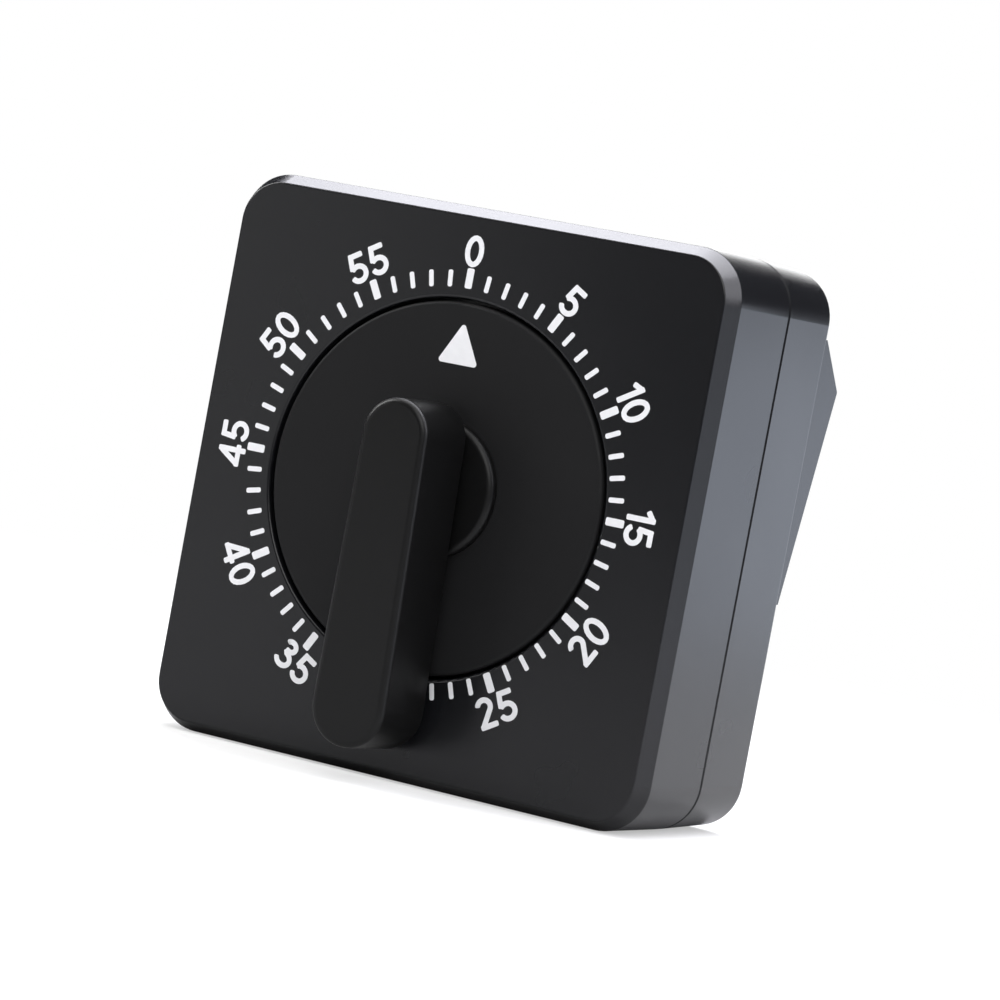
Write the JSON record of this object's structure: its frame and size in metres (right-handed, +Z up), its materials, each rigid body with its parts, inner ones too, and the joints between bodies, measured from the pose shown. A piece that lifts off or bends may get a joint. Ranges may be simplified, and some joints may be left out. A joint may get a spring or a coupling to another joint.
{
  "type": "mechanical timer",
  "caption": "Square clockwork kitchen timer in a bevelled two-part case, set by a bar handle on a flush round dial disc, with its wheel train, escapement and strike bell inside.",
  "frame": {"origin": "on the surface that the timer stands on, below the dial axis and midway between the handle's front and the back's ridge", "axes": "+X to the right as seen from the front, +Y to the back, +Z up"},
  "size_m": [0.068, 0.0461, 0.0686],
  "materials": {
    "case_black": "satin moulded plastic with a fine grain",
    "knob_black": "matt moulded plastic",
    "screw_steel": "zinc plated",
    "plate_steel": "rolled sheet",
    "arbor_steel": "turned and hardened",
    "spring_steel": "blued strip",
    "brass": "stamped and polished",
    "bell_nickel": "nickel plated"
  },
  "bodies": {
    "case": {"front_housing": "case_black", "rear_cover": "case_black", "case_screws": "screw_steel", "front_plate": "plate_steel", "back_plate": "plate_steel", "pillars": "brass", "pillar_screws": "screw_steel", "movement_screws": "screw_steel", "mainspring": "spring_steel", "spring_post": "plate_steel", "bell": "bell_nickel", "bell_stud": "plate_steel", "bell_nut": "screw_steel"},
    "knob": {"dial_disc": "knob_black", "turn_handle": "knob_black", "main_arbor": "arbor_steel", "ratchet_wheel": "arbor_steel", "strike_cam": "brass"},
    "great_train": {"great_wheel": "brass", "click_rivet": "plate_steel", "click_spring": "spring_steel"},
    "click_arm": {"click": "arbor_steel"},
    "second_train": {"second_wheel": "brass", "second_arbor": "arbor_steel"},
    "third_train": {"third_wheel": "brass", "third_arbor": "arbor_steel"},
    "escape_train": {"escape_wheel": "brass", "escape_arbor": "arbor_steel"},
    "balance_train": {"pallet": "arbor_steel", "pallet_arbor": "arbor_steel", "balance": "brass"},
    "striker": {"hammer": "arbor_steel", "hammer_tail": "arbor_steel", "hammer_arbor": "arbor_steel"}
  },
  "joints": [
    {"name": "knob_turn", "type": "hinge", "parent": "case", "child": "knob", "pos_m": [0, -0.01115, 0.0351], "axis": [0, 1, 0], "range_deg": [0, 345], "stiffness_Nm_per_rad": 0.002},
    {"name": "great_turn", "type": "hinge", "parent": "case", "child": "great_train", "pos_m": [0, 0.00045, 0.0351], "axis": [0, 1, 0], "continuous": true},
    {"name": "second_turn", "type": "hinge", "parent": "case", "child": "second_train", "pos_m": [-0.01518, 0.00085, 0.04387], "axis": [0, 1, 0], "continuous": true},
    {"name": "third_turn", "type": "hinge", "parent": "case", "child": "third_train", "pos_m": [-0.00677, 0.00085, 0.05043], "axis": [0, 1, 0], "continuous": true},
    {"name": "escape_turn", "type": "hinge", "parent": "case", "child": "escape_train", "pos_m": [0.00169, 0.00085, 0.05438], "axis": [0, 1, 0], "continuous": true},
    {"name": "click_lift", "type": "hinge", "parent": "great_train", "child": "click_arm", "pos_m": [0.00779, 0.00135, 0.03195], "axis": [0, -1, 0], "range_deg": [0, 4.5], "stiffness_Nm_per_rad": 0.0001, "springref_deg": -11.46},
    {"name": "pallet_rock", "type": "hinge", "parent": "case", "child": "balance_train", "pos_m": [0.00873, 0.00085, 0.05288], "axis": [0, 1, 0], "range_deg": [-3, 3]},
    {"name": "hammer_swing", "type": "hinge", "parent": "case", "child": "striker", "pos_m": [0.0175, 0.00085, 0.0311], "axis": [0, -1, 0], "range_deg": [0, 10], "stiffness_Nm_per_rad": 0.002, "springref_deg": -11.46}
  ],
  "couplings": [
    {"joint": "great_turn", "follows": "knob_turn", "ratio": 1},
    {"joint": "second_turn", "follows": "knob_turn", "ratio": -6},
    {"joint": "third_turn", "follows": "knob_turn", "ratio": 36},
    {"joint": "escape_turn", "follows": "knob_turn", "ratio": -216}
  ]
}
